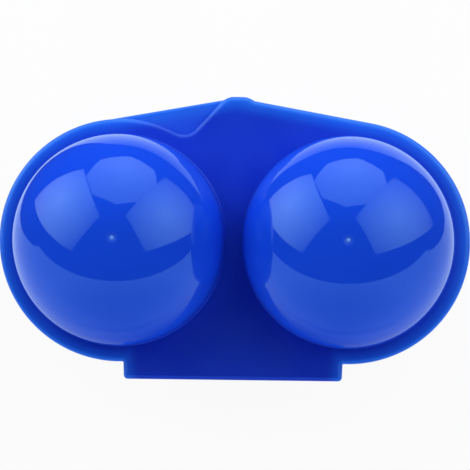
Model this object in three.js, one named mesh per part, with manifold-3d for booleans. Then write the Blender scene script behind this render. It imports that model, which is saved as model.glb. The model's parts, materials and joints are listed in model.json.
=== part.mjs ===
// Twin-cell clamshell carrier in gloss blue polypropylene, shown closed and lying on the domes of its base.
// Two flat-flanged halves meet at a parting plane. Each half has two round cells, and a film hinge along
// one flange joins them. Millimetres, +X along the two cells, +Z up, lid above and hinge towards -Y.
// Plan sizes are taken from the point midway between the two cell axes.
import * as THREE from 'three';
import { mergeVertices } from 'three/addons/utils/BufferGeometryUtils.js';
import Module from 'manifold-3d';

const degrees = THREE.MathUtils.degToRad;

// Plate outline
const CELL_SPACING = 61; // between the two cell axes
const END_RADIUS = 32.5; // round ends of the plate, about the cell axes
const PEAK_SLOPE = degrees(10.15); // fall of the straight top edges from the middle
const PEAK_ROUNDING = 2;
const PLATE_THICKNESS = 2.2;
const EDGE_ROUNDING = 0.9; // outer edge of each plate

// Thumb cut beside the peak, which bares the other half's plate
const CUT_SLOPE = degrees(47);
const CUT_FILLET = 2.3;
const CUT_CORNER = 1.4; // where the cut meets a plate with no nub

// Nub at the peak of the lid, and the catch tongue behind it
const NUB_WIDTH = 6.2; // between its two shoulders
const NUB_OFFSET = 0.5; // of its middle, to the right of the cells' midline
const NUB_RISE = 0.2; // above the peak of the two straight edges
const NUB_RAMP = degrees(30);
const NUB_SHOULDER = 3;
const NUB_ROOT = 1;
const TONGUE_WIDTH = 3.4;
const TONGUE_THICKNESS = 1.2;
const CATCH_CLEARANCE = 0.35; // round the tongue in its slot

// Hinge flange and film
const FLANGE_WIDTH = 58.6;
const FLANGE_DROP = 4.6; // past the round ends
const FLANGE_CORNER = 1.1;
const FILM_THICKNESS = 0.35;
const FILM_LENGTH = 0.9; // of each half's leaf, from its root to the fold
const FILM_END = 1.2; // bare flange at each end of the film
const FILM_RELIEF = 0.15; // between a leaf and the roof of its groove
const PARTING_GAP = 0.3; // between the faces of the closed halves

// Cells
const DOME_RADIUS = 28.1; // outside, where the dome leaves its plate
const DOME_HEIGHT = 35; // from the parting plane to the crown
const DOME_WALL = 1.5;
const DOME_FOOT = 0.8; // fillet between dome and plate
const SKIRT_HEIGHT = 9.5; // nearly straight wall above the plate
const SKIRT_DRAFT = degrees(0.7);
const CROWN_FLAT = 1.6; // radius of the flat on the crown

// Facets
const CHORD_ERROR = 0.05; // of a plan arc
const DOME_SIDES = 40;
const CROWN_STEPS = 7;
const FOOT_STEPS = 2;
const EDGE_STEPS = 2;
const CUTTER_MARGIN = 5; // by which cutting blocks run past what they cut

const halfSpacing = CELL_SPACING / 2;
const halfGap = PARTING_GAP / 2;
const plateTop = halfGap + PLATE_THICKNESS;
const peakHeight = (END_RADIUS + halfSpacing * Math.sin(PEAK_SLOPE)) / Math.cos(PEAK_SLOPE);
const nubTop = peakHeight + NUB_RISE;
const flangeEdge = -END_RADIUS - FLANGE_DROP;
const slotBed = nubTop - TONGUE_THICKNESS - CATCH_CLEARANCE;

const wasm = await Module();
wasm.setup();

// A closed three.js geometry as a solid that can be joined and cut
function solidOf(geometry) {
  const bare = geometry.clone();
  bare.deleteAttribute('normal');
  bare.deleteAttribute('uv');
  const merged = mergeVertices(bare, 1e-4);
  const triangles = [];
  for (let i = 0; i < merged.index.count; i += 3) {
    const [a, b, c] = merged.index.array.slice(i, i + 3);
    if (a !== b && b !== c && c !== a) {
      triangles.push(a, b, c);
    }
  }
  const vertProperties = new Float32Array(merged.attributes.position.array);
  const triVerts = new Uint32Array(triangles);
  return new wasm.Manifold(new wasm.Mesh({ numProp: 3, vertProperties, triVerts }));
}

function geometryOf(solid) {
  const mesh = solid.getMesh();
  const geometry = new THREE.BufferGeometry();
  geometry.setAttribute('position', new THREE.BufferAttribute(mesh.vertProperties, 3));
  geometry.setIndex(new THREE.BufferAttribute(mesh.triVerts, 1));
  geometry.computeVertexNormals();
  return geometry;
}

// A block between two corners
function block(low, high) {
  const size = high.clone().sub(low);
  const middle = low.clone().add(high).multiplyScalar(0.5);
  return new THREE.BoxGeometry(size.x, size.y, size.z).translate(middle.x, middle.y, middle.z);
}

// Plan outlines are lists of arcs, anticlockwise, joined by the straight lines between them.
// An arc whose angle grows is a convex corner, and one whose angle falls is a concave one.
function cornerArc(before, corner, after, radius) {
  const arriving = corner.clone().sub(before).normalize();
  const leaving = after.clone().sub(corner).normalize();
  const turn = Math.atan2(arriving.cross(leaving), arriving.dot(leaving));
  const outward = new THREE.Vector2(arriving.y, -arriving.x);
  const start = corner.clone().addScaledVector(arriving, -radius * Math.tan(Math.abs(turn) / 2));
  const centre = start.addScaledVector(outward, -Math.sign(turn) * radius);
  const from = outward.angle() + (turn < 0 ? Math.PI : 0);
  return { centre, radius, from, to: from + turn };
}

function arcPoints({ centre, radius, from, to }) {
  const widestStep = 2 * Math.acos(1 - CHORD_ERROR / radius);
  const steps = Math.max(2, Math.ceil(Math.abs(to - from) / widestStep));
  const points = [];
  for (let i = 0; i <= steps; i += 1) {
    const angle = from + ((to - from) * i) / steps;
    points.push(new THREE.Vector2(Math.cos(angle), Math.sin(angle)).multiplyScalar(radius).add(centre));
  }
  return points;
}

const rightAxis = new THREE.Vector2(halfSpacing, 0);
const leftAxis = new THREE.Vector2(-halfSpacing, 0);
const peak = new THREE.Vector2(0, peakHeight);

// A point on one of the straight top edges, by its place along X
function onTopEdge(x) {
  return new THREE.Vector2(x, peakHeight - Math.abs(x) * Math.tan(PEAK_SLOPE));
}

const nubLeft = new THREE.Vector2(NUB_OFFSET - NUB_WIDTH / 2, nubTop);
const nubRight = new THREE.Vector2(NUB_OFFSET + NUB_WIDTH / 2, nubTop);
const cutAlong = new THREE.Vector2(Math.cos(CUT_SLOPE), Math.sin(CUT_SLOPE));

// The two edges into the nub: the ramp on its right, and the thumb cut on its left
const rampFoot = onTopEdge(
  (NUB_RISE + nubRight.x * Math.tan(NUB_RAMP)) / (Math.tan(NUB_RAMP) - Math.tan(PEAK_SLOPE)),
);
const cutStart = onTopEdge(
  (nubLeft.x * Math.tan(CUT_SLOPE) - NUB_RISE) / (Math.tan(CUT_SLOPE) - Math.tan(PEAK_SLOPE)),
);

// The concave arc that joins the thumb cut to the plate's round left end
function cutFillet() {
  const outward = new THREE.Vector2(-cutAlong.y, cutAlong.x);
  const reach = nubLeft.clone().addScaledVector(outward, CUT_FILLET).sub(leftAxis);
  const span = END_RADIUS + CUT_FILLET;
  const along = reach.dot(cutAlong);
  const slide = Math.sqrt(along * along - reach.lengthSq() + span * span) - along;
  const centre = reach.addScaledVector(cutAlong, slide).add(leftAxis);
  const from = outward.angle() - Math.PI;
  const to = Math.atan2(leftAxis.y - centre.y, leftAxis.x - centre.x);
  return { centre, radius: CUT_FILLET, from, to };
}

// The outline of one half without its flange, seen from its outside.
// topCorners are those between the two round ends.
function plateOutline(topCorners) {
  const fillet = cutFillet();
  const arcs = [
    { centre: rightAxis, radius: END_RADIUS, from: -Math.PI / 2, to: Math.PI / 2 - PEAK_SLOPE },
    ...topCorners,
    fillet,
    { centre: leftAxis, radius: END_RADIUS, from: fillet.to + Math.PI, to: (3 * Math.PI) / 2 },
  ];
  return new THREE.Shape(arcs.flatMap(arcPoints));
}

// The flange's outline, from the line between the cell axes down
function flangeOutline() {
  const side = FLANGE_WIDTH / 2;
  const [topLeft, topRight] = [-side, side].map((x) => new THREE.Vector2(x, 0));
  const [lowLeft, lowRight] = [-side, side].map((x) => new THREE.Vector2(x, flangeEdge));
  const corners = [
    cornerArc(topLeft, lowLeft, lowRight, FLANGE_CORNER),
    cornerArc(lowLeft, lowRight, topRight, FLANGE_CORNER),
  ];
  return new THREE.Shape([topLeft, ...corners.flatMap(arcPoints), topRight]);
}

const lidTop = [
  cornerArc(onTopEdge(halfSpacing), rampFoot, nubRight, NUB_ROOT),
  cornerArc(rampFoot, nubRight, nubLeft, NUB_SHOULDER),
  cornerArc(nubRight, nubLeft, nubLeft.clone().sub(cutAlong), NUB_SHOULDER),
];
const baseTop = [
  cornerArc(onTopEdge(halfSpacing), peak, cutStart, PEAK_ROUNDING),
  cornerArc(peak, cutStart, cutStart.clone().sub(cutAlong), CUT_CORNER),
];

// A slab with its edges rounded, as thick above the parting plane as below it
function slab(outline) {
  const bevel = { bevelThickness: EDGE_ROUNDING, bevelSize: EDGE_ROUNDING, bevelOffset: -EDGE_ROUNDING };
  const depth = 2 * (plateTop - EDGE_ROUNDING);
  const geometry = new THREE.ExtrudeGeometry(outline, { depth, ...bevel, bevelSegments: EDGE_STEPS });
  return solidOf(geometry.translate(0, 0, -depth / 2));
}

// The flanged plate of one half, from the parting gap up
function plate(topCorners) {
  const reach = new THREE.Vector3(1, 1, 1).multiplyScalar(CELL_SPACING + END_RADIUS);
  const below = block(reach.clone().negate(), reach.clone().setZ(halfGap));
  return slab(plateOutline(topCorners)).add(slab(flangeOutline())).subtract(solidOf(below));
}

// A dome's profile above the plate, as radius and height: skirt with draft, then a rounded crown.
// wall moves it inwards.
function domeProfile(wall) {
  const shoulderHeight = plateTop + SKIRT_HEIGHT;
  const shoulder = DOME_RADIUS - wall - SKIRT_HEIGHT * Math.tan(SKIRT_DRAFT);
  const rise = DOME_HEIGHT - wall - shoulderHeight;
  const flatAngle = Math.acos(CROWN_FLAT / shoulder);
  const points = [];
  for (let i = 0; i <= CROWN_STEPS; i += 1) {
    const angle = (flatAngle * i) / CROWN_STEPS;
    const lift = (rise * Math.sin(angle)) / Math.sin(flatAngle);
    points.push(new THREE.Vector2(shoulder * Math.cos(angle), shoulderHeight + lift));
  }
  points.push(new THREE.Vector2(0, DOME_HEIGHT - wall));
  return points;
}

function turned(profile) {
  return new THREE.LatheGeometry(profile, DOME_SIDES).rotateX(Math.PI / 2);
}

function domeBody() {
  const profile = [new THREE.Vector2(0, halfGap), new THREE.Vector2(DOME_RADIUS + DOME_FOOT, halfGap)];
  for (let i = 0; i <= FOOT_STEPS; i += 1) {
    const angle = ((Math.PI / 2) * i) / FOOT_STEPS;
    const radius = DOME_RADIUS + DOME_FOOT * (1 - Math.sin(angle));
    profile.push(new THREE.Vector2(radius, plateTop + DOME_FOOT * (1 - Math.cos(angle))));
  }
  return turned([...profile, ...domeProfile(0)]);
}

function cellHollow() {
  const mouth = DOME_RADIUS - DOME_WALL;
  const start = [new THREE.Vector2(0, -CUTTER_MARGIN), new THREE.Vector2(mouth, -CUTTER_MARGIN)];
  return turned([...start, new THREE.Vector2(mouth, plateTop), ...domeProfile(DOME_WALL)]);
}

// The groove in the flange that holds one leaf of the film, cut from the parting face
function filmGroove() {
  const halfLength = FLANGE_WIDTH / 2 - FILM_END;
  const low = new THREE.Vector3(-halfLength, flangeEdge - CUTTER_MARGIN, -CUTTER_MARGIN);
  const roof = halfGap + FILM_THICKNESS + FILM_RELIEF;
  const high = new THREE.Vector3(halfLength, flangeEdge + FILM_LENGTH, roof);
  return block(low, high);
}

function filmLeaf() {
  const halfLength = FLANGE_WIDTH / 2 - FILM_END;
  const low = new THREE.Vector3(-halfLength, flangeEdge, halfGap);
  const high = new THREE.Vector3(halfLength, flangeEdge + FILM_LENGTH, halfGap + FILM_THICKNESS);
  return block(low, high);
}

// The tongue stands on the lid's parting face and fills the plate thickness of the base
function catchTongue() {
  const middle = NUB_OFFSET;
  const low = new THREE.Vector3(middle - TONGUE_WIDTH / 2, nubTop - TONGUE_THICKNESS, -plateTop);
  const high = new THREE.Vector3(middle + TONGUE_WIDTH / 2, nubTop, plateTop - EDGE_ROUNDING);
  return block(low, high);
}

// The slot for the tongue in the base, in the base's own view, where X is turned round
function catchSlot() {
  const middle = -NUB_OFFSET;
  const halfWidth = TONGUE_WIDTH / 2 + CATCH_CLEARANCE;
  const low = new THREE.Vector3(middle - halfWidth, slotBed, -CUTTER_MARGIN);
  const high = new THREE.Vector3(middle + halfWidth, nubTop + CUTTER_MARGIN, plateTop + CUTTER_MARGIN);
  return block(low, high);
}

function halfShell(topCorners) {
  let shell = plate(topCorners);
  for (const axis of [leftAxis, rightAxis]) {
    shell = shell.add(solidOf(domeBody().translate(axis.x, axis.y, 0)));
  }
  for (const axis of [leftAxis, rightAxis]) {
    shell = shell.subtract(solidOf(cellHollow().translate(axis.x, axis.y, 0)));
  }
  return shell.subtract(solidOf(filmGroove()));
}

function part(name, geometry, material) {
  const mesh = new THREE.Mesh(geometry, material);
  mesh.name = name;
  return mesh;
}

function polished(color) {
  return new THREE.MeshStandardMaterial({ color, roughness: 0.12, metalness: 0 });
}

function flexed(color) {
  return new THREE.MeshStandardMaterial({ color, roughness: 0.35, metalness: 0 });
}

const SHELL_BLUE = '#1146dc';
const FILM_BLUE = '#2a5ce6';

const lid = new THREE.Group();
const lidShell = halfShell(lidTop).add(solidOf(catchTongue()));
lid.add(part('lid_shell', geometryOf(lidShell), polished(SHELL_BLUE)));
lid.add(part('lid_hinge_film', filmLeaf(), flexed(FILM_BLUE)));

const base = new THREE.Group();
const baseShell = halfShell(baseTop).subtract(solidOf(catchSlot()));
base.add(part('base_shell', geometryOf(baseShell), polished(SHELL_BLUE)));
base.add(part('base_hinge_film', filmLeaf(), flexed(FILM_BLUE)));
base.rotation.y = Math.PI; // the base is turned over, outside down

const carrier = new THREE.Group();
carrier.add(lid, base);
carrier.position.set(0, -(nubTop + flangeEdge) / 2, DOME_HEIGHT);

export default carrier;
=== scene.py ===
import json
import math

import bmesh
import bpy
from mathutils import Matrix, Vector


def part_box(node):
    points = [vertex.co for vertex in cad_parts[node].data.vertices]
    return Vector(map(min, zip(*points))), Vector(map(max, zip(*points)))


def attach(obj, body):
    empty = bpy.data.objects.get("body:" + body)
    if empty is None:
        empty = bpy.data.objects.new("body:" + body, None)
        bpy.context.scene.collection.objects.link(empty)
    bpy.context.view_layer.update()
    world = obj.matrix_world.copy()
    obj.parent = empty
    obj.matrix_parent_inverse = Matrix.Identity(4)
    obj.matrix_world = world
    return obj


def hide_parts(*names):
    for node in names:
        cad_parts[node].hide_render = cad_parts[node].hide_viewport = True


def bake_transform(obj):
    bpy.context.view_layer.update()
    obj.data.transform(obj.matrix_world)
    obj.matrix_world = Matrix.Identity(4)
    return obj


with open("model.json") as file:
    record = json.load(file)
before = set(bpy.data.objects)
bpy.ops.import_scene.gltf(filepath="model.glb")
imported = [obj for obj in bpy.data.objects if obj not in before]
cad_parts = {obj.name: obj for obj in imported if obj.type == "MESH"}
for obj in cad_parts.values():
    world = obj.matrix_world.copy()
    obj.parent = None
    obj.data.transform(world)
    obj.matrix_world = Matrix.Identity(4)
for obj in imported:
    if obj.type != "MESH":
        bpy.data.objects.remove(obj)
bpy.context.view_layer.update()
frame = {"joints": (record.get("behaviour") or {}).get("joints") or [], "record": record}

bl_info = {
    "name": "Twin-cell Clamshell Carrier",
    "version": (1, 0, 0),
    "blender": (4, 5, 0),
    "location": "3D View > Sidebar > Carrier",
    "description": "Moulded shells, film hinge and studio of a two-cell clamshell carrier",
    "category": "Add Mesh",
}

MM = 0.001

# What the CAD frame gives: the cell axes, the faces of the plates, the crowns and the hinge's fold
MOUNTS = {mount["name"]: Vector(mount["pos_m"]) for mount in frame["record"]["mounts"]}
LID_LOW, LID_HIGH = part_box("lid_shell")
FILM_LOW, FILM_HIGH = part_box("lid_hinge_film")
FOLD = Vector(frame["joints"][0]["pos_m"])
MIDDLE = Vector((0, MOUNTS["left_foot"].y, FOLD.z))
HALF_SPACING = MOUNTS["right_foot"].x
PLATE_TOP = MOUNTS["lid_plate"].z - MIDDLE.z
HALF_GAP = FILM_LOW.z - MIDDLE.z
DOME_HEIGHT = LID_HIGH.z - MIDDLE.z
END_RADIUS = LID_HIGH.x - HALF_SPACING
NUB_TOP = LID_HIGH.y - MIDDLE.y
FLANGE_EDGE = LID_LOW.y - MIDDLE.y

# Detail of the meshes
DOME_SIDES = 160
CROWN_STEPS = 40
CELL_STEPS = 24
ROUNDING_STEPS = 6
LIP_STEPS = 3
CHORD_ERROR = 0.002 * MM
SAME_POINT = 0.0001 * MM
SHARP_ANGLE = math.radians(32)

# An edge is set in by no more than this share of a corner's radius.
CORNER_LIMIT = 0.95

# Other values of the mesh tools
FULL_TURN = 2 * math.pi
ROUND_PROFILE = 0.5
CUTTER_MARGIN = 5 * MM

# The gate mark on a crown, from the outside in: radii as shares of the stub's radius, and depths as
# shares of the recess
DISH_SHARES = ((2.3, 0), (2, 0.35), (1.6, 1), (1, 1))
STUB_SHARES = ((1, 1), (0.85, 0.45), (0.45, 0.2))


def linear(hex_colour):
    """An sRGB hex colour as linear red, green and blue."""
    parts = [int(hex_colour[i:i + 2], 16) / 255 for i in (1, 3, 5)]
    return tuple(c / 12.92 if c <= 0.04045 else ((c + 0.055) / 1.055) ** 2.4 for c in parts)


def length(name, description, default_mm):
    """A length property. Its default is given in millimetres."""
    return bpy.props.FloatProperty(
        name=name, description=description, default=default_mm * MM, min=0, unit="LENGTH", precision=5
    )


def angle(name, description, default_degrees):
    """An angle property. Its default is given in degrees."""
    return bpy.props.FloatProperty(
        name=name, description=description, default=math.radians(default_degrees), subtype="ANGLE"
    )


def colour(name, description, hex_colour):
    """A colour property. Its default is given as sRGB hex."""
    return bpy.props.FloatVectorProperty(
        name=name, description=description, default=linear(hex_colour), subtype="COLOR", min=0, max=1
    )


def factor(name, description, default):
    """A property that is usually 0 to 1."""
    return bpy.props.FloatProperty(
        name=name, description=description, default=default, min=0, soft_max=1, subtype="FACTOR"
    )


def radiance(name, description, default):
    """How bright a lamp's front or a lit paper looks. 1 is white."""
    return bpy.props.FloatProperty(name=name, description=description, default=default, min=0)


class CarrierPlateSizes(bpy.types.PropertyGroup):
    """The flanged plate of each half"""

    peak_slope: angle("Peak slope", "Fall of the straight top edges from the middle", 10.15)
    peak_rounding: length("Peak rounding", "Corner of a plate with no nub", 2)
    edge_inset: length("Edge inset", "How far the rounded outer edge reaches into the plate's face", 1.6)
    edge_drop: length("Edge drop", "How far it reaches down the plate's side", 1.0)
    edge_ease: bpy.props.FloatProperty(
        name="Edge ease",
        description="Above 1, a rounded edge falls away slowly at first",
        default=1.15,
        min=1,
    )
    face_inset: length("Face inset", "How far the rounded edge reaches into the parting face", 1.2)
    face_drop: length("Face drop", "How far that edge reaches up the plate's side", 0.5)
    cut_slope: angle("Cut slope", "Slope of the thumb cut beside the peak", 47)
    cut_fillet: length("Cut fillet", "Between the thumb cut and the round end", 4.4)
    cut_corner: length("Cut corner", "Where the cut meets a plate with no nub", 1.6)
    nub_width: length("Nub width", "Between its two shoulders", 5.7)
    nub_offset: length("Nub offset", "To the right of the middle between the cells", 0.3)
    nub_rise: length("Nub rise", "Above the peak of the two straight edges", 0.2)
    nub_ramp: angle("Nub ramp", "Slope on its right", 30)
    nub_shoulder: length("Nub shoulder", "Radius of its two corners", 5)
    nub_root: length("Nub root", "Radius at the foot of its ramp", 2)
    flange_width: length("Flange width", "Bar that the hinge runs along", 58.6)
    flange_corner: length("Flange corner", "Radius of its two outer corners", 1.1)
    flange_root: length("Flange root", "Radius where it leaves the round ends", 0.3)
    flange_draft: angle("Flange draft", "Lean of its two short sides", 2)


class CarrierCellSizes(bpy.types.PropertyGroup):
    """The domes and the cells inside them"""

    dome_radius: length("Dome radius", "Outside, where the dome leaves its plate", 28.3)
    cell_radius: length("Cell radius", "Mouth of the cell at the parting face", 26.6)
    wall: length("Wall", "Thickness of the crown", 1.5)
    foot: length("Foot fillet", "Between dome and plate", 0.2)
    lip: length("Lip rounding", "Mouth of the cell", 0.3)
    skirt_height: length("Skirt height", "Nearly straight wall above the plate", 9)
    skirt_draft: angle("Skirt draft", "Lean of that wall", 1.5)
    crown_flat: length("Crown flat", "Radius of the flat on the crown", 1.6)
    gate_radius: length("Gate radius", "Stub that the gate leaves in the middle of the crown", 0.52)
    gate_recess: length("Gate recess", "Depth of the dished ring round the stub", 0.09)


class CarrierHingeSizes(bpy.types.PropertyGroup):
    """The film hinge and the catch"""

    film_end: length("Film end", "Bare flange at each end of the film", 1.2)
    film_thickness: length("Film thickness", "Thickness of the strip beside the fold", 0.35)
    fold_thickness: length("Fold thickness", "Where the strip is thinned to bend", 0.2)
    film_relief: length("Film relief", "Between the film and the roof of its groove", 0.15)
    tongue_width: length("Tongue width", "Catch tongue behind the nub", 3.4)
    tongue_thickness: length("Tongue thickness", "Catch tongue behind the nub", 1.2)
    tongue_rounding: length("Tongue rounding", "Edges of the tongue", 0.2)
    clearance: length("Catch clearance", "Round the tongue in its slot", 0.35)


class CarrierFinish(bpy.types.PropertyGroup):
    """Colours and gloss of the moulding"""

    shell: colour("Shell", "Pigmented polypropylene", "#1144DA")
    flow: colour("Flow marks", "Where the melt ran thinner from the gate", "#154ADE")
    scar: colour("Gate scar", "Polypropylene torn and whitened at the gate", "#6CA8FF")
    blush: factor("Gate blush", "How much of the scar's paleness the plastic round the gate has", 0.15)
    blush_reach: length("Blush reach", "How far from the gate the blush fades out", 1.9)
    film: colour("Film", "Flexed polypropylene of the hinge", "#2A5CE6")
    crease: colour("Crease", "Stress-whitened polypropylene in the fold", "#6C93F0")
    sheen_tint: colour("Gloss tint", "What the pigment leaves of a reflection", "#A4E6FF")
    polish: factor("Polish", "Roughness of the domes", 0.045)
    # Partly the texture and partly painted shade, for the shade that the domes cast on the plates
    textured_and_shaded: colour("Textured face", "The same pigment under a fine texture", "#0E30C6")
    # Painted light: paler than the shell, standing in for light through the thin plastic at the rims
    rim: colour("Rim", "The same pigment where the plates thin out towards their rims", "#1A66EA")
    painted_glow_reach: length("Rim reach", "How far in from the rim the plates look paler", 4.8)
    satin: factor("Satin", "Roughness of the plates", 0.34)
    core: factor("Core side", "Roughness of the cells and the parting faces", 0.459)


class CarrierStudio(bpy.types.PropertyGroup):
    """Camera, floor and lamps"""

    lens: bpy.props.FloatProperty(
        name="Lens", description="Focal length", default=258.95, min=1, unit="CAMERA"
    )
    roll: angle("Roll", "Camera's turn about its own axis", 0.69)
    softbox: radiance("Softboxes", "Radiance of the left one's front, which the others follow", 3.9)
    room: factor("Room", "Light from the rest of the room", 0.04)
    paper: radiance("Paper", "Radiance of the board and the low card where nothing shades them", 1.38)
    fill: factor("Fill", "Light from low in front, on a face turned to it", 0.9)


SETTINGS = {
    "carrier_plate": CarrierPlateSizes,
    "carrier_cell": CarrierCellSizes,
    "carrier_hinge": CarrierHingeSizes,
    "carrier_finish": CarrierFinish,
    "carrier_studio": CarrierStudio,
}


# ---------------------------------------------------------------- materials

# Sizes on the moulded faces in mm. The grain that the steel leaves is finer than a pixel of the render,
# so it is drawn coarser, about two pixels across.
FLOW_REACH_MM = 30
STREAK_MM = 9
GLOSS_PATCH_MM = 7
GRAIN_MM = 0.6
RIPPLE_HEIGHT_MM = 0.012

# From patch to patch the roughness wanders between these shares of its own value.
GLOSSIER_SHARE = 0.85
DULLER_SHARE = 1.2

# Polypropylene's own, and that of the moulded skin, which is matched to how strongly the domes mirror
POLYPROPYLENE_IOR = 1.5
SKIN_IOR = 1.6


def add_node(tree, kind, settings=None, **inputs):
    """A node with its settings and inputs. An input is a value, a socket to link, or a node whose first
    output is linked. Base_Color stands for the input named Base Color, and _2 for the one numbered 2."""
    node = tree.nodes.new("ShaderNode" + kind)
    for name, value in (settings or {}).items():
        setattr(node, name, value)
    for name, value in inputs.items():
        by_number = name[1:].isdigit()
        socket = node.inputs[int(name[1:]) if by_number else name.replace("_", " ")]
        if isinstance(value, bpy.types.Node):
            value = value.outputs[0]
        if isinstance(value, bpy.types.NodeSocket):
            tree.links.new(value, socket)
        else:
            socket.default_value = value
    return node


def new_material(name):
    """An empty node material and its tree."""
    material = bpy.data.materials.new(name)
    material.use_nodes = True
    material.node_tree.nodes.clear()
    return material, material.node_tree


def rgba(rgb):
    return (*rgb, 1)


def pattern_scale(size_mm):
    """The scale at which a pattern's lumps are size_mm across."""
    return 1 / (size_mm * MM)


def gate_coordinates(tree, place):
    """A place as seen from the nearest cell axis: both pairs of domes share one set."""
    parts = add_node(tree, "SeparateXYZ", _0=place)
    side = add_node(tree, "Math", {"operation": "ABSOLUTE"}, _0=parts.outputs["X"])
    x = add_node(tree, "Math", {"operation": "SUBTRACT"}, _0=side, _1=HALF_SPACING)
    y = add_node(tree, "Math", {"operation": "SUBTRACT"}, _0=parts.outputs["Y"], _1=MIDDLE.y)
    return add_node(tree, "CombineXYZ", X=x, Y=y)


def painted_rim_glow(tree, from_gate, plate, reach):
    """How much of the painted rim glow shows, which stands in for light that comes through the thin rim:
    1 at the rim of the plates and 0 from reach inwards. The hinged edge of the flange doesn't count.
    Inside the round ends a point's depth is that in the end's disc, and between them that below the top
    edge and behind a line from the flange's corner to where the top edge meets the disc."""
    slope, half_flange = plate.peak_slope, plate.flange_width / 2
    peak = NUB_TOP - plate.nub_rise
    tangent = Vector((HALF_SPACING + END_RADIUS * math.sin(slope), END_RADIUS * math.cos(slope)))
    lean = (tangent.x - half_flange) / (tangent.y - FLANGE_EDGE)
    to_axis = add_node(tree, "VectorMath", {"operation": "LENGTH"}, _0=from_gate)
    in_end = add_node(tree, "Math", {"operation": "SUBTRACT"}, _0=END_RADIUS, _1=to_axis.outputs["Value"])
    down = add_node(tree, "VectorMath", {"operation": "DOT_PRODUCT"}, _0=from_gate,
                    _1=(-math.sin(slope), -math.cos(slope), 0))
    below_top = add_node(tree, "Math", {"operation": "ADD"}, _0=down.outputs["Value"],
                         _1=peak * math.cos(slope) - HALF_SPACING * math.sin(slope))
    inward = add_node(tree, "VectorMath", {"operation": "DOT_PRODUCT"}, _0=from_gate, _1=(-1, lean, 0))
    in_flange = add_node(tree, "Math", {"operation": "ADD"}, _0=inward.outputs["Value"],
                         _1=half_flange - HALF_SPACING - lean * FLANGE_EDGE)
    in_middle = add_node(tree, "Math", {"operation": "MINIMUM"}, _0=below_top, _1=in_flange)
    depth = add_node(tree, "Math", {"operation": "MAXIMUM"}, _0=in_end, _1=in_middle)
    return add_node(tree, "MapRange", {"interpolation_type": "SMOOTHSTEP"}, Value=depth,
                    From_Max=reach, To_Min=1.0, To_Max=0.0)


def flow_marks(tree, from_gate):
    """Faint streaks that run out from the gate, as the melt did, 0 to 1."""
    away = add_node(tree, "VectorMath", {"operation": "NORMALIZE"}, _0=from_gate)
    distance = add_node(tree, "VectorMath", {"operation": "LENGTH"}, _0=from_gate)
    lobes = add_node(tree, "VectorMath", {"operation": "SCALE"}, _0=away, Scale=FLOW_REACH_MM / STREAK_MM)
    along = add_node(tree, "Math", {"operation": "DIVIDE"}, _0=distance.outputs["Value"],
                     _1=FLOW_REACH_MM * MM)
    return add_node(tree, "TexNoise", {"noise_dimensions": "4D"}, Vector=lobes, W=along, Scale=1.0,
                    Detail=3.0, Roughness=0.55)


def gate_blush(tree, from_gate, finish):
    """How much of the scar's paleness shows: finish.blush at the gate, and 0 from its reach outwards."""
    away = add_node(tree, "VectorMath", {"operation": "LENGTH"}, _0=from_gate)
    return add_node(tree, "MapRange", {"interpolation_type": "SMOOTHSTEP"}, Value=away.outputs["Value"],
                    From_Max=finish.blush_reach, To_Min=finish.blush, To_Max=0.0)


def moulded_polypropylene(name, finish, shell, roughness, ripple_mm, grain_height_mm, mark_share,
                          glow_plate=None):
    """Pigmented polypropylene as it leaves a steel mould. glow_plate is the plate towards whose rim it
    pales with painted light, which stands in for light through the thin rim. Without one it pales
    towards the gate."""
    material, tree = new_material(name)
    place = add_node(tree, "TexCoord").outputs["Object"]
    from_gate = gate_coordinates(tree, place)
    share = add_node(tree, "MapRange", Value=flow_marks(tree, from_gate), To_Max=mark_share)
    body = add_node(tree, "Mix", {"data_type": "RGBA"}, _0=share, _6=rgba(shell), _7=rgba(finish.flow))
    # On a plate, painted light: paler towards the rim, standing in for light through the thin plastic
    if glow_plate:
        paleness, pale = painted_rim_glow(tree, from_gate, glow_plate, finish.painted_glow_reach), finish.rim
    else:
        paleness, pale = gate_blush(tree, from_gate, finish), finish.scar
    body = add_node(tree, "Mix", {"data_type": "RGBA"}, _0=paleness, _6=body.outputs[2], _7=rgba(pale))
    patches = add_node(tree, "TexNoise", Vector=place, Scale=pattern_scale(GLOSS_PATCH_MM), Detail=0.0)
    worn = add_node(tree, "MapRange", Value=patches, To_Min=roughness * GLOSSIER_SHARE,
                    To_Max=roughness * DULLER_SHARE)
    grains = add_node(tree, "TexNoise", Vector=place, Scale=pattern_scale(GRAIN_MM), Detail=3.0)
    grain = add_node(tree, "Bump", Strength=1.0, Distance=grain_height_mm * MM, Height=grains)
    waves = add_node(tree, "TexNoise", Vector=place, Scale=pattern_scale(ripple_mm), Detail=2.0)
    ripple = add_node(tree, "Bump", Strength=1.0, Distance=RIPPLE_HEIGHT_MM * MM, Height=waves,
                      Normal=grain)
    shader = add_node(tree, "BsdfPrincipled", Base_Color=body.outputs[2], Roughness=worn, IOR=SKIN_IOR,
                      Specular_Tint=rgba(finish.sheen_tint), Normal=ripple)
    add_node(tree, "OutputMaterial", Surface=shader)
    return material


def polished_polypropylene(finish):
    # Injection-moulded polypropylene off a mirror-polished cavity: crisp reflections that wander a
    # little with the moulding's ripple, faint paler streaks out from the gate and a pale blush round it.
    return moulded_polypropylene("polished_moulded_polypropylene", finish, finish.shell, finish.polish,
                                 ripple_mm=14, grain_height_mm=0.0001, mark_share=0.5)


def satin_polypropylene(finish, plate):
    # The same moulding off a fine-stoned steel face: it takes a broad soft gleam and mirrors nothing. Its
    # colour is darker than the domes' partly for the texture and partly as painted shade, and it pales
    # towards the thin rim with painted light, which stands in for light that comes through there.
    return moulded_polypropylene("satin_moulded_polypropylene", finish, finish.textured_and_shaded, finish.satin,
                                 ripple_mm=10, grain_height_mm=0.0005, mark_share=0.15, glow_plate=plate)


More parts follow.
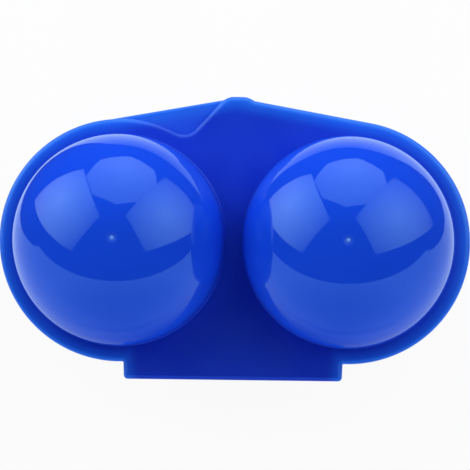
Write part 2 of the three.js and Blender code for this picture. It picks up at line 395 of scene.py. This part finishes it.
def core_side_polypropylene(finish, plate):
    # The inside, off the core, which is drawn out of the cell: duller than the outside. It too pales
    # towards the rim of the plate with painted light, standing in for light through the thin plastic.
    return moulded_polypropylene("core_side_polypropylene", finish, finish.shell, finish.core,
                                 ripple_mm=8, grain_height_mm=0.001, mark_share=0.7, glow_plate=plate)


def torn_polypropylene(finish):
    # The stub where the runner was torn off: whitened, and rough on a scale of two tenths of a mm.
    crumb_mm, crumb_height_mm = 0.2, 0.02
    material, tree = new_material("torn_gate_polypropylene")
    place = add_node(tree, "TexCoord").outputs["Object"]
    crumbs = add_node(tree, "TexNoise", Vector=place, Scale=pattern_scale(crumb_mm), Detail=3.0)
    whitened = add_node(tree, "MapRange", Value=crumbs, To_Min=0.3)
    body = add_node(tree, "Mix", {"data_type": "RGBA"}, _0=whitened, _6=rgba(finish.shell),
                    _7=rgba(finish.scar))
    torn = add_node(tree, "Bump", Strength=1.0, Distance=crumb_height_mm * MM, Height=crumbs)
    shader = add_node(tree, "BsdfPrincipled", Base_Color=body.outputs[2], Roughness=0.3,
                      IOR=POLYPROPYLENE_IOR, Normal=torn)
    add_node(tree, "OutputMaterial", Surface=shader)
    return material


def flexed_polypropylene(finish):
    # The same polypropylene squeezed into a thin film and flexed: it has drawn out and whitened in fine
    # creases that run along the hinge, and they take its gloss.
    crease_mm, crease_stretch, crease_height_mm, dulling = 0.25, 12.5, 0.01, 1.5
    material, tree = new_material("flexed_film_polypropylene")
    place = add_node(tree, "TexCoord").outputs["Object"]
    drawn = add_node(tree, "Mapping", Vector=place, Scale=(1 / crease_stretch, 1, 1))
    creases = add_node(tree, "TexNoise", Vector=drawn, Scale=pattern_scale(crease_mm), Detail=3.0)
    whitened = add_node(tree, "MapRange", Value=creases, To_Min=0.1, To_Max=0.75)
    body = add_node(tree, "Mix", {"data_type": "RGBA"}, _0=whitened, _6=rgba(finish.film),
                    _7=rgba(finish.crease))
    folds = add_node(tree, "Bump", Strength=1.0, Distance=crease_height_mm * MM, Height=creases)
    rough = add_node(tree, "MapRange", Value=creases, To_Min=finish.satin, To_Max=finish.satin * dulling)
    shader = add_node(tree, "BsdfPrincipled", Base_Color=body.outputs[2], Roughness=rough,
                      IOR=POLYPROPYLENE_IOR, Normal=folds)
    add_node(tree, "OutputMaterial", Surface=shader)
    return material


# ---------------------------------------------------------------- outlines
# Plan outlines are lists of arcs, anticlockwise, joined by straight lines, seen from outside a half.
# An arc is a centre, a radius and two angles: one that grows is a convex corner, one that falls a
# concave one.


def corner_arc(before, corner, after, radius):
    """The arc of a radius that rounds a corner, from the corners before and after it."""
    arriving = (corner - before).normalized()
    leaving = (after - corner).normalized()
    turn = math.atan2(arriving.cross(leaving), arriving.dot(leaving))
    outward = Vector((arriving.y, -arriving.x))
    start = corner - arriving * radius * math.tan(abs(turn) / 2)
    centre = start - outward * math.copysign(radius, turn)
    begin = math.atan2(outward.y, outward.x) + (math.pi if turn < 0 else 0)
    return centre, radius, begin, begin + turn


def arc_points(arc):
    """Points of an arc, each with the direction out of the plate and how far an edge can be set in."""
    centre, radius, begin, end = arc
    widest_step = 2 * math.acos(1 - CHORD_ERROR / radius)
    steps = max(ROUNDING_STEPS, math.ceil(abs(end - begin) / widest_step))
    side = math.copysign(1, end - begin)
    points = []
    for i in range(steps + 1):
        turn = begin + (end - begin) * i / steps
        ray = Vector((math.cos(turn), math.sin(turn)))
        limit = radius * CORNER_LIMIT if side > 0 else math.inf
        points.append((centre + ray * radius, ray * side, limit))
    return points


def outline_points(arcs):
    """The points of all the arcs in order, none of them twice."""
    points = []
    for point in (p for arc in arcs for p in arc_points(arc)):
        if not points or (point[0] - points[-1][0]).length > SAME_POINT:
            points.append(point)
    if (points[0][0] - points[-1][0]).length < SAME_POINT:
        points.pop()
    return points


class PlateOutline:
    """The outline of one half, from the sizes of its plate."""

    def __init__(self, sizes):
        self.sizes = sizes
        self.right_axis = Vector((HALF_SPACING, 0))
        self.left_axis = Vector((-HALF_SPACING, 0))
        slope = math.tan(sizes.peak_slope)
        self.peak = Vector((0, NUB_TOP - sizes.nub_rise))
        nub_half = sizes.nub_width / 2
        self.nub_left = Vector((sizes.nub_offset - nub_half, NUB_TOP))
        self.nub_right = Vector((sizes.nub_offset + nub_half, NUB_TOP))
        self.cut_along = Vector((math.cos(sizes.cut_slope), math.sin(sizes.cut_slope)))
        ramp, cut = math.tan(sizes.nub_ramp), math.tan(sizes.cut_slope)
        self.ramp_foot = self.on_top_edge((sizes.nub_rise + self.nub_right.x * ramp) / (ramp - slope))
        self.cut_start = self.on_top_edge((self.nub_left.x * cut - sizes.nub_rise) / (cut - slope))

    def on_top_edge(self, x):
        """The point of the straight top edges at x."""
        return Vector((x, self.peak.y - abs(x) * math.tan(self.sizes.peak_slope)))

    def cut_fillet(self):
        """The concave arc from the thumb cut into the round left end."""
        radius = self.sizes.cut_fillet
        outward = Vector((-self.cut_along.y, self.cut_along.x))
        reach = self.nub_left + outward * radius - self.left_axis
        along = reach.dot(self.cut_along)
        slide = math.sqrt(along**2 - reach.length_squared + (END_RADIUS + radius) ** 2) - along
        centre = reach + self.cut_along * slide + self.left_axis
        back = self.left_axis - centre
        begin = math.atan2(outward.y, outward.x) - math.pi
        return centre, radius, begin, math.atan2(back.y, back.x)

    def flange_root(self, side):
        """The centre of the concave arc between the flange and a round end, and its direction back."""
        radius = self.sizes.flange_root
        x = side * (self.sizes.flange_width / 2 + radius)
        across = side * HALF_SPACING - x
        centre = Vector((x, -math.sqrt((END_RADIUS + radius) ** 2 - across**2)))
        back = Vector((across, -centre.y))
        return centre, math.atan2(back.y, back.x)

    def arcs(self, top_corners):
        """The arcs of a whole outline, with the corners at its peak given."""
        sizes = self.sizes
        half = sizes.flange_width / 2
        low_half = half - (-END_RADIUS - FLANGE_EDGE) * math.tan(sizes.flange_draft)
        high_left, high_right = Vector((-half, -END_RADIUS)), Vector((half, -END_RADIUS))
        low_left, low_right = Vector((-low_half, FLANGE_EDGE)), Vector((low_half, FLANGE_EDGE))
        right_root, right_turn = self.flange_root(1)
        left_root, left_turn = self.flange_root(-1)
        fillet = self.cut_fillet()
        return [
            corner_arc(high_left, low_left, low_right, sizes.flange_corner),
            corner_arc(low_left, low_right, high_right, sizes.flange_corner),
            (right_root, sizes.flange_root, math.pi, right_turn),
            (self.right_axis, END_RADIUS, right_turn - math.pi, math.pi / 2 - sizes.peak_slope),
            *top_corners,
            fillet,
            (self.left_axis, END_RADIUS, fillet[3] + math.pi, left_turn + math.pi),
            (left_root, sizes.flange_root, left_turn, 0),
        ]

    def lid(self):
        """The lid's outline, with the nub at its peak."""
        sizes = self.sizes
        start = self.on_top_edge(HALF_SPACING)
        cut = self.nub_left - self.cut_along
        return outline_points(self.arcs([
            corner_arc(start, self.ramp_foot, self.nub_right, sizes.nub_root),
            corner_arc(self.ramp_foot, self.nub_right, self.nub_left, sizes.nub_shoulder),
            corner_arc(self.nub_right, self.nub_left, cut, sizes.nub_shoulder),
        ]))

    def base(self):
        """The base's outline in its own view, with a plain peak."""
        sizes = self.sizes
        start = self.on_top_edge(HALF_SPACING)
        return outline_points(self.arcs([
            corner_arc(start, self.peak, self.cut_start, sizes.peak_rounding),
            corner_arc(self.peak, self.cut_start, self.cut_start - self.cut_along, sizes.cut_corner),
        ]))


# ---------------------------------------------------------------- meshes

SATIN, POLISHED, CORE, SCAR = range(4)


def ring(mesh, points, height):
    """A ring of vertices at one height."""
    return [mesh.verts.new((point.x, point.y, height)) for point in points]


def bridge(mesh, rings, material):
    """Quads between each ring and the next, all with as many points."""
    for low, high in zip(rings, rings[1:]):
        for i, vert in enumerate(low):
            after = (i + 1) % len(low)
            face = mesh.faces.new((vert, low[after], high[after], high[i]))
            face.material_index = material


def fill(mesh, loops, material):
    """A flat face inside the first loop and outside the others."""
    edges = [mesh.edges.get((loop[i - 1], vert)) for loop in loops for i, vert in enumerate(loop)]
    made = bmesh.ops.triangle_fill(mesh, use_beauty=True, edges=edges)
    for item in made["geom"]:
        if isinstance(item, bmesh.types.BMFace):
            item.material_index = material


def quarter_turn(steps):
    """Angles from 0 to a quarter turn."""
    return [math.pi / 2 * i / steps for i in range(steps + 1)]


def set_in(outline, distance):
    """An outline moved inwards, but no further than its corners allow."""
    return [point - out * min(distance, limit) for point, out, limit in outline]


def rounded_edge(outline, inset, drop, ease):
    """Loops of an eased rounding from the face of a plate to its side, each with its depth."""
    loops = []
    for turn in quarter_turn(ROUNDING_STEPS):
        inwards = inset * (1 - math.sin(turn))
        down = drop * (1 - math.cos(turn)) ** ease
        loops.append((set_in(outline, inwards), down))
    return loops


def plate_edge(mesh, outline, sizes):
    """The side of the plate with both its rounded edges. Gives its highest and lowest rings."""
    outer = rounded_edge(outline, sizes.edge_inset, sizes.edge_drop, sizes.edge_ease)
    face = rounded_edge(outline, sizes.face_inset, sizes.face_drop, sizes.edge_ease)
    rings = [ring(mesh, loop, PLATE_TOP - depth) for loop, depth in outer]
    rings += [ring(mesh, loop, HALF_GAP + depth) for loop, depth in reversed(face)]
    bridge(mesh, rings, SATIN)
    return rings[0], rings[-1]


def circle(centre, radius):
    """Points round a circle, as many as a dome has sides."""
    turns = [FULL_TURN * i / DOME_SIDES for i in range(DOME_SIDES)]
    return [centre + Vector((math.cos(turn), math.sin(turn))) * radius for turn in turns]


def crown_profile(sizes, radius, top, steps):
    """Radius and height from the top of the skirt to the rim of the crown's flat."""
    shoulder_height = PLATE_TOP + sizes.skirt_height
    shoulder = radius - sizes.skirt_height * math.tan(sizes.skirt_draft)
    rise = top - shoulder_height
    flat_turn = math.acos(sizes.crown_flat / shoulder)
    turns = [flat_turn * i / steps for i in range(steps + 1)]
    return [
        (shoulder * math.cos(turn), shoulder_height + rise * math.sin(turn) / math.sin(flat_turn))
        for turn in turns
    ]


def rounding_profile(radius, rounding, height, steps):
    """The small radius between a flat face and a round wall, from the face inwards."""
    return [
        (radius + rounding * (1 - math.sin(turn)), height + rounding * (1 - math.cos(turn)))
        for turn in quarter_turn(steps)
    ]


def gate_profile(sizes, shares):
    """A part of the gate mark, from its shares of the stub's radius and of the recess."""
    return [
        (sizes.gate_radius * across, DOME_HEIGHT - sizes.gate_recess * deep) for across, deep in shares
    ]


def turned_surface(mesh, axis, *parts):
    """A surface of revolution that closes on its axis, made of parts that are each a profile and a
    material. A part starts where the one before it ends. Gives its first ring."""
    first = last = None
    for profile, material in parts:
        points = profile[1:] if last else profile
        rings = [ring(mesh, circle(axis, radius), height) for radius, height in points]
        bridge(mesh, [last, *rings] if last else rings, material)
        first, last = first or rings[0], rings[-1]
    tip = mesh.verts.new((axis.x, axis.y, last[0].co.z))
    for i, vert in enumerate(last):
        face = mesh.faces.new((last[i - 1], vert, tip))
        face.material_index = parts[-1][1]
    return first


def finished_mesh(name, mesh, *materials):
    """Mesh data from a bmesh, with its materials. The bmesh is freed."""
    data = bpy.data.meshes.new(name)
    mesh.to_mesh(data)
    mesh.free()
    for material in materials:
        data.materials.append(material)
    return data


def half_shell_mesh(name, outline, plate, cell, materials):
    """One moulding as seen from its own outside, parting plane at height 0, middle at the origin."""
    mesh = bmesh.new()
    top, bottom = plate_edge(mesh, outline, plate)
    feet, mouths = [], []
    for axis in (Vector((-HALF_SPACING, 0)), Vector((HALF_SPACING, 0))):
        foot = rounding_profile(cell.dome_radius, cell.foot, PLATE_TOP, ROUNDING_STEPS)
        crown = crown_profile(cell, cell.dome_radius, DOME_HEIGHT, CROWN_STEPS)
        dome = foot[-1:] + crown + gate_profile(cell, DISH_SHARES)
        stub = gate_profile(cell, STUB_SHARES)
        feet.append(turned_surface(mesh, axis, (foot, SATIN), (dome, POLISHED), (stub, SCAR)))
        lip = rounding_profile(cell.cell_radius, cell.lip, HALF_GAP, LIP_STEPS)
        inside = crown_profile(cell, cell.cell_radius, DOME_HEIGHT - cell.wall, CELL_STEPS)
        mouths.append(turned_surface(mesh, axis, (lip + inside, CORE)))
    fill(mesh, [top, *feet], SATIN)
    fill(mesh, [bottom, *mouths], CORE)
    bmesh.ops.recalc_face_normals(mesh, faces=mesh.faces)
    return finished_mesh(name, mesh, *materials)


def block_mesh(name, low, high, rounding=0.0):
    """A block between two corners, with its edges rounded."""
    mesh = bmesh.new()
    bmesh.ops.create_cube(mesh, size=1)
    for vert in mesh.verts:
        vert.co = Vector((low[i] + (vert.co[i] + 0.5) * (high[i] - low[i]) for i in range(3)))
    if rounding:
        bmesh.ops.bevel(mesh, geom=mesh.edges[:], offset=rounding, segments=LIP_STEPS,
                        affect="EDGES", profile=ROUND_PROFILE)
    return finished_mesh(name, mesh)


def linked(name, data):
    """A new object in the scene."""
    item = bpy.data.objects.new(name, data)
    bpy.context.scene.collection.objects.link(item)
    return item


def joined_or_cut(data, tool_data, operation):
    """The mesh after a tool mesh has been joined to it or cut from it."""
    for material in data.materials:
        tool_data.materials.append(material)
    work, tool = linked(data.name, data), linked(tool_data.name, tool_data)
    modifier = work.modifiers.new("join or cut", "BOOLEAN")
    modifier.object = tool
    modifier.operation = operation
    modifier.solver = "EXACT"
    settled = work.evaluated_get(bpy.context.evaluated_depsgraph_get())
    result = bpy.data.meshes.new_from_object(settled)
    for item in (work, tool):
        bpy.data.objects.remove(item)
    return result


def film_groove(plate, hinge):
    """The groove for one leaf of the film, in the parting face along the flange."""
    half = plate.flange_width / 2 - hinge.film_end
    roof = HALF_GAP + hinge.film_thickness + hinge.film_relief
    depth = FILM_HIGH.y - FILM_LOW.y
    low = (-half, FLANGE_EDGE - CUTTER_MARGIN, -CUTTER_MARGIN)
    return block_mesh("film_groove", low, (half, FLANGE_EDGE + depth, roof))


def catch_tongue(plate, hinge):
    """The tongue behind the nub, which reaches from the lid's plate down into the base's."""
    middle, half = plate.nub_offset, hinge.tongue_width / 2
    low = (middle - half, NUB_TOP - hinge.tongue_thickness, -PLATE_TOP)
    high = (middle + half, NUB_TOP, PLATE_TOP - plate.edge_drop)
    return block_mesh("catch_tongue", low, high, hinge.tongue_rounding)


def catch_slot(plate, hinge):
    """The slot for the tongue, in the base's own view, where X is turned round."""
    middle, half = -plate.nub_offset, hinge.tongue_width / 2 + hinge.clearance
    low = (middle - half, NUB_TOP - hinge.tongue_thickness - hinge.clearance, -CUTTER_MARGIN)
    high = (middle + half, NUB_TOP + CUTTER_MARGIN, PLATE_TOP + CUTTER_MARGIN)
    return block_mesh("catch_slot", low, high)


def film_section(hinge):
    """The film's section as pairs of Y and height: round the outside of the fold, from the lid's leaf to
    the base's, and back along the inside."""
    thickness = hinge.film_thickness
    root = FLANGE_EDGE + FILM_HIGH.y - FILM_LOW.y
    outer = HALF_GAP + thickness
    web = [HALF_GAP - 2 * HALF_GAP * i / ROUNDING_STEPS for i in range(1, ROUNDING_STEPS)]
    corner = [
        (FLANGE_EDGE + thickness * (1 - math.sin(turn)), HALF_GAP + thickness * math.cos(turn))
        for turn in quarter_turn(ROUNDING_STEPS)
    ]
    section = [(root, outer), *corner, *[(FLANGE_EDGE, height) for height in web]]
    section += [(y, -height) for y, height in reversed(corner)]
    section += [(root, -outer), (root, -HALF_GAP), (FLANGE_EDGE + thickness, -HALF_GAP)]
    section += [(FLANGE_EDGE + hinge.fold_thickness, height) for height in reversed(web)]
    section += [(FLANGE_EDGE + thickness, HALF_GAP), (root, HALF_GAP)]
    return section


def film_mesh(plate, hinge, material):
    """The folded film, closed at both ends."""
    half = plate.flange_width / 2 - hinge.film_end
    section = film_section(hinge)
    mesh = bmesh.new()
    ends = [[mesh.verts.new((x, y, height)) for y, height in section] for x in (-half, half)]
    bridge(mesh, ends, 0)
    for end in ends:
        mesh.faces.new(end)
    bmesh.ops.recalc_face_normals(mesh, faces=mesh.faces)
    return finished_mesh("film", mesh, material)


def placed_piece(name, data, turn=None):
    """An object in the carrier's own frame, with shading that keeps its flat faces flat."""
    data.transform(Matrix.Translation(MIDDLE) @ (turn or Matrix.Identity(4)))
    data.name = name
    data.shade_smooth()
    data.set_sharp_from_angle(angle=SHARP_ANGLE)
    piece = linked(name, data)
    weighted = piece.modifiers.new("flat faces stay flat", "WEIGHTED_NORMAL")
    weighted.keep_sharp = True
    return piece


class CARRIER_OT_half_shells(bpy.types.Operator):
    """Build the two moulded halves, each a flanged plate with two domed cells"""

    bl_idname = "carrier.half_shells"
    bl_label = "Half shells"

    def execute(self, context):
        scene = context.scene
        plate, cell, hinge = scene.carrier_plate, scene.carrier_cell, scene.carrier_hinge
        finish = scene.carrier_finish
        materials = [satin_polypropylene(finish, plate), polished_polypropylene(finish),
                     core_side_polypropylene(finish, plate), torn_polypropylene(finish)]
        outline = PlateOutline(plate)

        lid = half_shell_mesh("lid", outline.lid(), plate, cell, materials)
        lid = joined_or_cut(lid, catch_tongue(plate, hinge), "UNION")
        lid = joined_or_cut(lid, film_groove(plate, hinge), "DIFFERENCE")
        lid_piece = placed_piece("lid_moulding", lid)
        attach(lid_piece, "lid")
        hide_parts("lid_shell")

        base = half_shell_mesh("base", outline.base(), plate, cell, materials)
        base = joined_or_cut(base, catch_slot(plate, hinge), "DIFFERENCE")
        base = joined_or_cut(base, film_groove(plate, hinge), "DIFFERENCE")
        base_piece = placed_piece("base_moulding", base, Matrix.Rotation(math.pi, 4, "Y"))
        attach(base_piece, "base")
        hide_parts("base_shell")
        return {"FINISHED"}


class CARRIER_OT_hinge_film(bpy.types.Operator):
    """Build the film hinge, one strip that folds between the two flanges"""

    bl_idname = "carrier.hinge_film"
    bl_label = "Hinge film"

    def execute(self, context):
        scene = context.scene
        material = flexed_polypropylene(scene.carrier_finish)
        data = film_mesh(scene.carrier_plate, scene.carrier_hinge, material)
        film = placed_piece("hinge_film", data)
        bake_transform(film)
        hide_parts("lid_hinge_film", "base_hinge_film")
        return {"FINISHED"}


# ---------------------------------------------------------------- studio

# Where the camera stands and where it looks
CAMERA_PLACE = Vector((30.3, -16.7, 940)) * MM
CAMERA_AIM = Vector((0.19, 0.88, 37.35)) * MM
SENSOR_WIDTH_MM = 36

FLOOR_HALF = 6.0

# How much of the floor is plain white to the camera, and to rays through clear things
CAMERA_WHITE = 0.93
CLEAR_WHITE = 0.2

# Corners of each softbox as azimuth from +X and elevation, in degrees, seen from the carrier
SOFTBOX_DISTANCE = 2.0
LEFT_SOFTBOX = ((117.5, 8.5), (127.8, 65.7), (196.9, 46.5), (156.5, -16.5))
RIGHT_SOFTBOX = ((54.9, 6.5), (72.3, 67.8), (-24.4, 62.1), (12.1, -7))

# The octabox hangs beyond the far side. Its azimuth, elevation and turn are in degrees, its reach and
# drop are shares of its distance, and its lamp's drop is a share of its reach.
OCTABOX_DISTANCE = 2.2
OCTABOX_FACING = (87.1, 31)
OCTABOX_TURN = 7
OCTABOX_REACH = 0.595
OCTABOX_DROP = 0.06
OCTABOX_LAMP_DROP = 0.35

# How bright the others are beside the left softbox
RIGHT_SHARE = 0.73
OCTABOX_SHARE = 0.67

# The edge in mm of the white board that the domes mirror, which lies just over the floor. Past it the
# room is dark.
BOARD_HEIGHT_MM = 0.2
BOARD_EDGE_MM = (
    (-6000, -555), (6000, -555), (224, 5), (151, 17), (120, 25), (102, 34), (97, 52), (97, 79),
    (94, 108), (84, 132), (70, 143), (50, 146), (13, 144), (-21, 142), (-40, 136), (-51, 119),
    (-58, 88), (-63, 56), (-72, 35), (-86, 26), (-108, 20), (-160, 12),
)

# The low card stands across the board before the carrier, as wide as the board is there.
CARD_Y = -0.3
CARD_HALF = 3.37
CARD_TOP = 0.41

# Painted soft shades on the paper, each a centre and a reach in metres and how much light it takes
# away: the carrier's own shade painted before it, a wider one round that, the dim front of the room and
# its dim back
PAPER_SHADES = (
    ((0, -0.04, 0), 0.1, 1.15),
    ((0, -0.16, 0), 0.18, 0.75),
    ((0, -0.45, 0.1), 0.45, 0.95),
    ((0, 0.3, 0), 0.23, 2.0),
)
PAPER_TINT = "#D4E8FF"

# The fill's angle from straight down, and how wide it looks
FILL_TILT = math.radians(88)
FILL_WIDTH = math.radians(12)


def direction(azimuth, elevation):
    """A unit vector from two angles in degrees."""
    azimuth, elevation = math.radians(azimuth), math.radians(elevation)
    flat = math.cos(elevation)
    return Vector((flat * math.cos(azimuth), flat * math.sin(azimuth), math.sin(elevation)))


def seen_by(item, **rays):
    """Which rays see a stage piece: camera, diffuse, glossy or shadow."""
    for ray, seen in rays.items():
        setattr(item, "visible_" + ray, seen)


def falloff(tree, centre, reach):
    """1 at a place on the stage, and 0 from reach metres away."""
    place = add_node(tree, "TexCoord").outputs["Object"]
    away = add_node(tree, "VectorMath", {"operation": "SUBTRACT"}, _0=place, _1=centre)
    scaled = add_node(tree, "VectorMath", {"operation": "SCALE"}, _0=away, Scale=1 / reach)
    ball = add_node(tree, "TexGradient", {"gradient_type": "SPHERICAL"}, Vector=scaled)
    return ball.outputs["Fac"]


def backlit_nylon(name, strength, hot_spot, reach, edge_share):
    # White nylon with a lamp behind it: brightest where the lamp shines through, and down to edge_share
    # of that at reach.
    material, tree = new_material(name)
    level = add_node(tree, "MapRange", Value=falloff(tree, hot_spot, reach),
                     To_Min=strength * edge_share, To_Max=strength)
    light = add_node(tree, "Emission", Color=rgba(linear("#FFFFFF")), Strength=level)
    add_node(tree, "OutputMaterial", Surface=light)
    return material


def black_nylon():
    # Matt black nylon round a softbox's front: a thin dark line where the domes mirror it.
    material, tree = new_material("black_woven_nylon")
    surface = add_node(tree, "BsdfDiffuse", Color=rgba(linear("#101010")))
    add_node(tree, "OutputMaterial", Surface=surface)
    return material


def lit_paper(level):
    # Matt paper painted as its lamps light it: light given off, less its painted soft shades.
    material, tree = new_material("lit_matt_paper")
    for centre, reach, depth in PAPER_SHADES:
        level = add_node(tree, "Math", {"operation": "MULTIPLY_ADD"}, _0=falloff(tree, centre, reach),
                         _1=-depth, _2=level)
    lit = add_node(tree, "Math", {"operation": "MAXIMUM"}, _0=level, _1=0.0)
    light = add_node(tree, "Emission", Color=rgba(linear(PAPER_TINT)), Strength=lit)
    add_node(tree, "OutputMaterial", Surface=light)
    return material


def white_paper():
    # Matt white paper. The camera sees most of it as plain white, rays through clear things see some of
    # that, and the rest takes the light and the carrier's shadow. The studio hides it from reflections,
    # which see the board.
    material, tree = new_material("white_paper")
    paper = add_node(tree, "BsdfDiffuse", Color=rgba(linear("#F4F4F4")))
    plain = add_node(tree, "Emission", Color=rgba(linear("#FFFFFF")), Strength=1.0)
    path = add_node(tree, "LightPath")
    indirect = add_node(tree, "Math", {"operation": "MAXIMUM"},
                        _0=path.outputs["Is Glossy Ray"], _1=path.outputs["Is Transmission Ray"])
    less = add_node(tree, "Math", {"operation": "MULTIPLY"}, _0=indirect, _1=CLEAR_WHITE)
    direct = add_node(tree, "Math", {"operation": "MULTIPLY"}, _0=path.outputs["Is Camera Ray"],
                      _1=CAMERA_WHITE)
    seen = add_node(tree, "Math", {"operation": "MAXIMUM"}, _0=direct, _1=less)
    both = add_node(tree, "MixShader", _0=seen, _1=paper, _2=plain)
    add_node(tree, "OutputMaterial", Surface=both)
    return material


def dim_room(studio):
    # The carrier is lit by a dim room and mirrors it. The camera sees white beyond the floor.
    world = bpy.data.worlds.new("dim_room")
    world.use_nodes = True
    tree = world.node_tree
    tree.nodes.clear()
    dim = add_node(tree, "Background", Color=rgba(linear("#FFFFFF")), Strength=studio.room)
    white = add_node(tree, "Background", Color=rgba(linear("#FFFFFF")), Strength=1.0)
    path = add_node(tree, "LightPath")
    seen = add_node(tree, "Math", {"operation": "MAXIMUM"}, _0=path.outputs["Is Camera Ray"],
                    _1=path.outputs["Is Transmission Ray"])
    both = add_node(tree, "MixShader", _0=seen, _1=dim, _2=white)
    add_node(tree, "OutputWorld", Surface=both)
    bpy.context.scene.world = world


def softbox(name, corners, hot_spot, rim, strength, edge_share, rim_share):
    """A glowing front inside a rim. hot_spot is where its lamp shines through brightest."""
    middle = sum(corners, Vector()) / len(corners)
    front = [corner + (middle - corner) * rim_share for corner in corners]
    reach = max((corner - hot_spot).length for corner in corners)
    cloth = backlit_nylon(name + "_backlit_nylon", strength, hot_spot, reach, edge_share)
    mesh = bmesh.new()
    outer, inner = [[mesh.verts.new(corner) for corner in loop] for loop in (corners, front)]
    bridge(mesh, [outer, inner], 1)
    mesh.faces.new(inner)
    item = linked(name, finished_mesh(name, mesh, cloth, rim))
    seen_by(item, camera=False)


def softbox_corners(angles):
    """The corners of a softbox from their azimuths and elevations."""
    return [direction(*corner) * SOFTBOX_DISTANCE for corner in angles]


def hot_spot_at(height, corners):
    """A place between the middles of the low edge, at height 0, and the high one, at height 1."""
    low = (corners[0] + corners[3]) / 2
    high = (corners[1] + corners[2]) / 2
    return low.lerp(high, height)


def octabox_corners():
    """The eight corners of the octabox, and its hot spot below the middle."""
    facing = direction(*OCTABOX_FACING)
    across = facing.cross(Vector((0, 0, 1))).normalized() * OCTABOX_REACH
    rise = across.cross(facing)
    middle = facing - rise.normalized() * OCTABOX_DROP
    turns = [math.radians(OCTABOX_TURN) + FULL_TURN * i / 8 for i in range(8)]
    corners = [middle + across * math.cos(turn) + rise * math.sin(turn) for turn in turns]
    hot_spot = middle - rise * OCTABOX_LAMP_DROP
    return [corner * OCTABOX_DISTANCE for corner in corners], hot_spot * OCTABOX_DISTANCE


def flat_card(name, corners, material):
    """A flat piece of the stage, with its corners in metres."""
    mesh = bmesh.new()
    mesh.faces.new([mesh.verts.new(corner) for corner in corners])
    item = linked(name, finished_mesh(name, mesh, material))
    return item


def camera(studio):
    """The camera, which looks down on the lid from where the photo was taken."""
    data = bpy.data.cameras.new("camera")
    data.lens = studio.lens
    data.sensor_width = SENSOR_WIDTH_MM
    item = linked("camera", data)
    forward = (CAMERA_AIM - CAMERA_PLACE).normalized()
    right = forward.cross(Vector((0, 1, 0))).normalized()
    up = right.cross(forward)
    axes = Matrix((right, up, -forward)).transposed().to_4x4()
    rolled = axes @ Matrix.Rotation(studio.roll, 4, "Z")
    item.matrix_world = Matrix.Translation(CAMERA_PLACE) @ rolled
    bpy.context.scene.camera = item


class CARRIER_OT_studio(bpy.types.Operator):
    """Set the camera, the white floor, the board, the softboxes, the low card and the fill"""

    bl_idname = "carrier.studio"
    bl_label = "Studio"

    def execute(self, context):
        studio = context.scene.carrier_studio
        context.scene.view_settings.view_transform = "Standard"
        camera(studio)
        dim_room(studio)

        signs = ((-1, -1), (1, -1), (1, 1), (-1, 1))
        floor_corners = [(x * FLOOR_HALF, y * FLOOR_HALF, 0) for x, y in signs]
        seen_by(flat_card("floor", floor_corners, white_paper()), glossy=False)
        board_corners = [Vector((x, y, BOARD_HEIGHT_MM)) * MM for x, y in BOARD_EDGE_MM]
        card_corners = [(-CARD_HALF, CARD_Y, 0), (CARD_HALF, CARD_Y, 0),
                        (CARD_HALF, CARD_Y, CARD_TOP), (-CARD_HALF, CARD_Y, CARD_TOP)]
        paper = lit_paper(studio.paper)
        for name, corners in (("board", board_corners), ("low_card", card_corners)):
            seen_by(flat_card(name, corners, paper), camera=False, diffuse=False, shadow=False)

        rim = black_nylon()
        left, right = softbox_corners(LEFT_SOFTBOX), softbox_corners(RIGHT_SOFTBOX)
        octabox, below_middle = octabox_corners()
        softbox("left_softbox", left, hot_spot_at(0.4, left), rim,
                strength=studio.softbox, edge_share=0.1, rim_share=0.03)
        softbox("right_softbox", right, hot_spot_at(0.5, right), rim,
                strength=studio.softbox * RIGHT_SHARE, edge_share=0.12, rim_share=0.005)
        softbox("octabox", octabox, below_middle, rim,
                strength=studio.softbox * OCTABOX_SHARE, edge_share=0.5, rim_share=0.01)

        fill_light = linked("low_fill", bpy.data.lights.new("low_fill", "SUN"))
        fill_light.data.energy = studio.fill * math.pi
        fill_light.data.angle = FILL_WIDTH
        fill_light.rotation_euler = (FILL_TILT, 0, 0)
        seen_by(fill_light, glossy=False)
        return {"FINISHED"}


PIECES = (CARRIER_OT_half_shells, CARRIER_OT_hinge_film, CARRIER_OT_studio)


class CARRIER_PT_sidebar(bpy.types.Panel):
    """The carrier's pieces and sizes"""

    bl_idname = "CARRIER_PT_sidebar"
    bl_label = "Clamshell carrier"
    bl_space_type = "VIEW_3D"
    bl_region_type = "UI"
    bl_category = "Carrier"

    def draw(self, context):
        for piece in PIECES:
            self.layout.operator(piece.bl_idname)
        for name, group in SETTINGS.items():
            box = self.layout.box()
            for setting in group.__annotations__:
                box.prop(getattr(context.scene, name), setting)


CLASSES = (*SETTINGS.values(), *PIECES, CARRIER_PT_sidebar)


def register():
    for item in CLASSES:
        bpy.utils.register_class(item)
    for name, group in SETTINGS.items():
        setattr(bpy.types.Scene, name, bpy.props.PointerProperty(type=group))


def unregister():
    for name in SETTINGS:
        delattr(bpy.types.Scene, name)
    for item in reversed(CLASSES):
        bpy.utils.unregister_class(item)


def main():
    register()
    bpy.ops.carrier.studio()
    bpy.ops.carrier.half_shells()
    bpy.ops.carrier.hinge_film()


if __name__ == "__main__":
    main()
